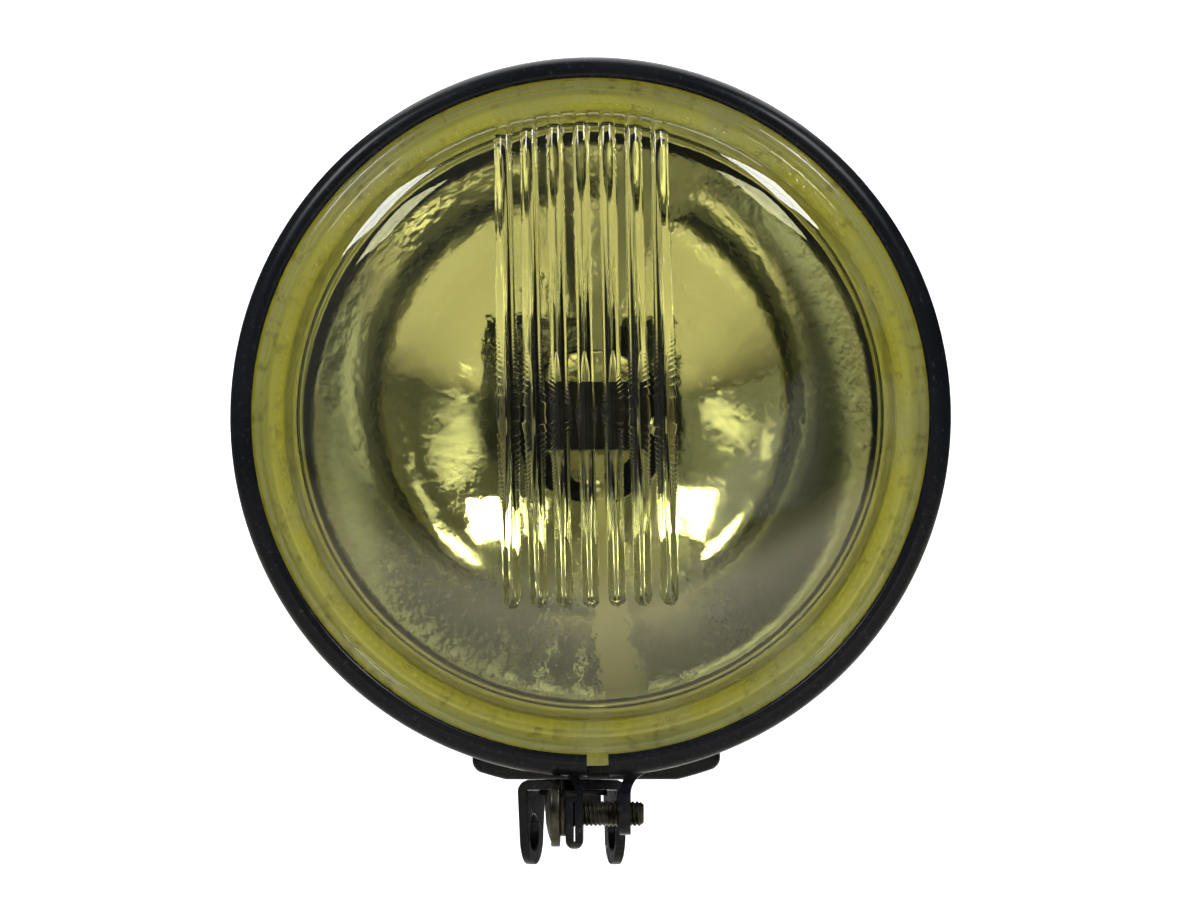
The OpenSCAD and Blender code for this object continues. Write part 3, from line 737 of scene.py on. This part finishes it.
def make_housing():
    """Drawn bowl with a flat flange and a quarter-ellipse turn to its flat back."""
    straight_to, back_at, back_r, centre_r = 38.0, 72.0, 32.0, 0.5
    flange_r, flange_at, root = 80.8, 1.6, 1.6

    def wall(inset):
        points = []
        for degrees in range(0, 91, 3):
            angle = math.radians(degrees)
            points.append((
                back_r + (BOWL_R - back_r - inset) * math.cos(angle),
                straight_to + (back_at - straight_to - inset) * math.sin(angle),
            ))
        return points

    profile = [(BOWL_R - SHEET, flange_at), (flange_r, flange_at), (flange_r, flange_at + SHEET)]
    profile += arc((BOWL_R + root, flange_at + SHEET + root), root, 270, 180, 6)
    profile += wall(0) + [(centre_r, back_at), (centre_r, back_at - SHEET)] + wall(SHEET)[::-1]
    vertices, faces = revolve(profile, 360)
    make_object(
        "housing_bowl", vertices, faces, BLACK, replaces=["housing"],
        smooth_angle=40,
    )


def inset(points, distance):
    """A line of points moved sideways, to the left of the way it runs."""
    moved = []
    for i, (x, z) in enumerate(points):
        before, after = points[max(i - 1, 0)], points[min(i + 1, len(points) - 1)]
        along = Vector((after[0] - before[0], after[1] - before[1])).normalized()
        moved.append((x - along.y * distance, z + along.x * distance))
    return moved


def between(first, last, steps):
    """Angles about the lamp's axis from one point to another, without the two ends."""
    start, end = (math.atan2(x, -z) for x, z in (first, last))
    return [start + (end - start) * i / steps for i in range(1, steps)]


def make_seat():
    """Pressed shoe under the housing: rounded ends, round lower edge, flat land in the middle."""
    outer_r, corner_r, left, right, land = 85.9, 3.0, -27.6, 29.8, -83.6
    front, back, edge_r, wall_r = 8.0, 40.0, 2.0, BOWL_R + 0.05

    def corner(end, side):
        """The round end on one side, and where it meets the housing."""
        x = end - side * corner_r
        z = -math.sqrt((outer_r - corner_r) ** 2 - x**2)
        turn = math.degrees(math.atan2(z, x))
        start, stop = (180, turn + 360) if side < 0 else (turn, 0)
        return arc((x, z), corner_r, start, stop, 10), (end, -math.sqrt(wall_r**2 - end**2))

    left_corner, left_foot = corner(left, -1)
    right_corner, right_foot = corner(right, 1)
    bottom = [
        (outer_r * math.sin(a), max(land, -outer_r * math.cos(a)))
        for a in between(left_corner[-1], right_corner[0], 90)
    ]
    lower = [left_foot] + left_corner + bottom + right_corner + [right_foot]
    upper = [
        (wall_r * math.sin(a), -wall_r * math.cos(a)) for a in between(right_foot, left_foot, 60)
    ]
    rings = []
    for degrees in range(90, -1, -15):
        a = math.radians(degrees)
        rings.append((front + edge_r * (1 - math.sin(a)), edge_r * (1 - math.cos(a))))
    sections = rings + [(front + back - at, d) for at, d in rings[::-1]]
    vertices, faces = [], []
    for at, distance in sections:
        for x, z in inset(lower, distance) + upper:
            vertices.append(lamp_point(x, at, z))
    count = len(lower) + len(upper)
    for i in range(len(sections) - 1):
        for j in range(count):
            k = (j + 1) % count
            this, after = i * count, (i + 1) * count
            faces.append((this + j, this + k, after + k, after + j))
    faces.append(tuple(range(count)))
    faces.append(tuple((len(sections) - 1) * count + j for j in range(count)))
    make_object(
        "seat_shell", vertices, faces, BLACK, replaces=["mount_seat"],
        smooth_angle=40,
    )

    inner, outer = BOWL_R + 0.04, BOWL_R + 1.63
    tab_front, tab_back, chamfer = 11.0, 37.0, 0.5
    tab_from, tab_to = 18, 34  # degrees from straight down
    profile = [(inner, tab_front), (outer - chamfer, tab_front), (outer, tab_front + chamfer)]
    profile += [(outer, tab_back - chamfer), (outer - chamfer, tab_back), (inner, tab_back)]
    for side, name in ((-1, "seat_tab_left"), (1, "seat_tab_right")):
        sweep = (math.radians(side * tab_from), math.radians(side * tab_to))
        vertices, faces = revolve(profile, 24, sweep=sweep)
        make_object(
            name, vertices, faces, BLACK, replaces=["mount_seat"], smooth_angle=40
        )


def round_edges():
    """Softens the edges of the CAD pieces that are shown as they are."""
    widths = {
        "mount_bracket": 0.45, "swivel_bolt": 0.4, "swivel_washer": 0.2, "bulb_shield": 0.15,
        "bulb_insulator": 0.3, "earth_screw": 0.2, "earth_nut": 0.25, "cable_grommet": 0.25,
    }
    for name, width in widths.items():
        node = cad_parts[name]
        weld = node.modifiers.new("weld", "WELD")
        weld.merge_threshold = 0.005 * MM
        bevel = node.modifiers.new("soften", "BEVEL")
        bevel.width = width * MM
        bevel.segments = 3
        bevel.limit_method = "ANGLE"
        bevel.angle_limit = math.radians(35)
        bevel.harden_normals = True


# ---- Scene -------------------------------------------------------------------------------------

def use_materials():
    """Gives every CAD node its material."""
    by_node = {
        "mount_bracket": BLACK, "swivel_bolt": DARK_STEEL, "swivel_washer": DARK_STEEL,
        "swivel_nut": ZINC, "mount_seat": BLACK, "seat_rivets": BLACK, "housing": BLACK,
        "clamp_rim": BLACK, "clamp_washer": ZINC, "clamp_screw": ZINC, "lens": GLASS,
        "lens_gasket": GASKET,
        "reflector": MIRROR, "bulb_shield": SHIELD, "shield_rivets": RIVET, "bulb_retainer": ZINC,
        "retainer_rivets": RIVET, "bulb_clip": SPRING, "bulb_flange": ZINC, "bulb_insulator": CERAMIC,
        "bulb_terminal": BRASS, "bulb_glass": CLEAR, "bulb_filament": SPRING, "earth_screw": ZINC,
        "earth_washer": ZINC, "earth_nut": ZINC, "cable_grommet": RUBBER,
    }
    for name, material in by_node.items():
        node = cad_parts[name]
        for slot in node.material_slots:
            slot.material = material


def make_floor():
    """A pale floor, and pale paper that sweeps up behind the lamp."""

    def paper(name, low, high):
        paint = Paint(name, Roughness=0.9)
        paint.drive("Base Color", paint.blend(paint.noise(0.002, 3), low, high))
        return paint.material

    warm = paper("floor_paper", (0.60, 0.56, 0.48), (0.66, 0.62, 0.54))
    white = paper("backdrop_paper", (0.80, 0.80, 0.80), (0.86, 0.86, 0.86))
    wall_y, bend_r, top_z = 1.9, 0.8, 2.4
    floor_half, paper_half = 6.0, 0.5
    paper_z = FLOOR_Z + 0.001
    sweep = [(0.4, paper_z)]
    sweep += arc((wall_y - bend_r, paper_z + bend_r), bend_r, -90, 0, 24)
    sweep += [(wall_y, top_z)]
    flat = [(-floor_half, FLOOR_Z), (floor_half, FLOOR_Z)]
    for name, path, half, material in (
        ("floor", flat, floor_half, warm), ("backdrop", sweep, paper_half, white),
    ):
        n = len(path)
        mesh = bpy.data.meshes.new(name)
        mesh.from_pydata(
            [(x, y, z) for x in (-half, half) for y, z in path], [],
            [(i, i + 1, n + i + 1, n + i) for i in range(n - 1)],
        )
        mesh.materials.append(material)
        mesh.shade_smooth()
        sheet = bpy.data.objects.new(name, mesh)
        bpy.context.scene.collection.objects.link(sheet)


def area_light(name, target, direction, distance, width, height, power):
    """A soft box that faces a point from a direction, in metres and watts."""
    data = bpy.data.lights.new(name, "AREA")
    data.shape = "RECTANGLE"
    data.size, data.size_y = width, height
    data.energy = power
    light = bpy.data.objects.new(name, data)
    towards = Vector(direction).normalized()
    light.location = Vector(target) + towards * distance
    light.rotation_euler = towards.to_track_quat("Z", "Y").to_euler()
    bpy.context.scene.collection.objects.link(light)


def make_world():
    """The room: brighter on the left, dimmer behind the lamp and overhead.

    Beyond the camera it is bright below and to the right, and dark above and to the left. The
    outer part of the mirror shows that region turned over.
    """
    world = bpy.data.worlds.new("studio")
    bpy.context.scene.world = world
    world.use_nodes = True
    tree = world.node_tree
    background = tree.nodes["Background"]
    place = tree.nodes.new("ShaderNodeTexCoord").outputs["Generated"]

    def ramp(value, start, end, low, high):
        node = tree.nodes.new("ShaderNodeMapRange")
        node.interpolation_type = "SMOOTHSTEP"
        set_range(node, start, end, low, high)
        tree.links.new(value, node.inputs["Value"])
        return node.outputs["Result"]

    def towards(direction):
        node = tree.nodes.new("ShaderNodeVectorMath")
        node.operation = "DOT_PRODUCT"
        node.inputs[1].default_value = Vector(direction).normalized()
        tree.links.new(place, node.inputs[0])
        return node.outputs["Value"]

    def multiply(first, second):
        node = tree.nodes.new("ShaderNodeMath")
        node.operation = "MULTIPLY"
        tree.links.new(first, node.inputs[0])
        tree.links.new(second, node.inputs[1])
        return node.outputs["Value"]

    room = ramp(towards((1, 0, 0)), -0.7, 0.5, 0.24, 0.06)
    behind = ramp(towards((0, 1, 0)), 0.0, 0.5, 1.0, 0.4)
    ceiling = ramp(towards((0, 0, 1)), 0.2, 0.6, 1.0, 0.7)
    change = ramp(towards((-0.6, 0, 0.8)), -0.08, -0.035, 6.5, -0.75)
    near_edge, far_edge = 0.18, 0.34  # radians from straight out of the lamp
    near_camera = ramp(towards((0, -1, 0)), math.cos(far_edge), math.cos(near_edge), 0.0, 1.0)
    lift = tree.nodes.new("ShaderNodeMath")
    lift.operation = "MULTIPLY_ADD"
    lift.inputs[2].default_value = 1.0
    tree.links.new(near_camera, lift.inputs[0])
    tree.links.new(change, lift.inputs[1])
    value = multiply(multiply(multiply(room, behind), ceiling), lift.outputs["Value"])
    tree.links.new(value, background.inputs["Strength"])
    background.inputs["Color"].default_value = (0.97, 1.0, 1.12, 1)


def make_camera():
    """Almost square on, from a little right of and below the lamp's axis."""
    azimuth, elevation = math.radians(1.2), math.radians(-3.0)
    distance = 1.4
    frame_width = 0.2767  # what the picture takes in at the rim's plane
    target = CENTRE + Vector((0.0022, 0, -0.0077))
    data = bpy.data.cameras.new("camera")
    data.sensor_width = 36
    data.lens = data.sensor_width * distance / frame_width
    data.clip_start = 0.01
    camera = bpy.data.objects.new("camera", data)
    away = Vector((
        math.sin(azimuth) * math.cos(elevation),
        -math.cos(azimuth) * math.cos(elevation),
        math.sin(elevation),
    ))
    camera.location = target + away * distance
    camera.rotation_euler = away.to_track_quat("Z", "Y").to_euler()
    bpy.context.scene.collection.objects.link(camera)
    bpy.context.scene.camera = camera


use_materials()
make_lens()
make_reflector()
make_rim()
make_screw()
make_housing()
make_seat()
round_edges()
make_floor()
make_world()
# The two soft boxes are the bright patches low in the mirror.
area_light("soft_box_right", CENTRE, (0.50, -0.52, 0.68), 1.2, 0.36, 0.30, 6)
area_light("soft_box_left", CENTRE, (-0.58, -0.52, 0.62), 1.3, 0.36, 0.36, 6)
area_light("far_floor_light", (0.35, -3.2, FLOOR_Z), (0, 0.65, 0.76), 2.2, 2.0, 0.8, 110)
area_light("overhead", (0, 1.0, FLOOR_Z), (0, 0.12, 1.0), 2.7, 3.0, 2.6, 75)
area_light("backdrop_light", (0, 1.7, 1.1), (0, -0.93, 0.37), 1.1, 1.0, 0.5, 45)
make_camera()
bpy.context.scene.view_settings.view_transform = "Standard"
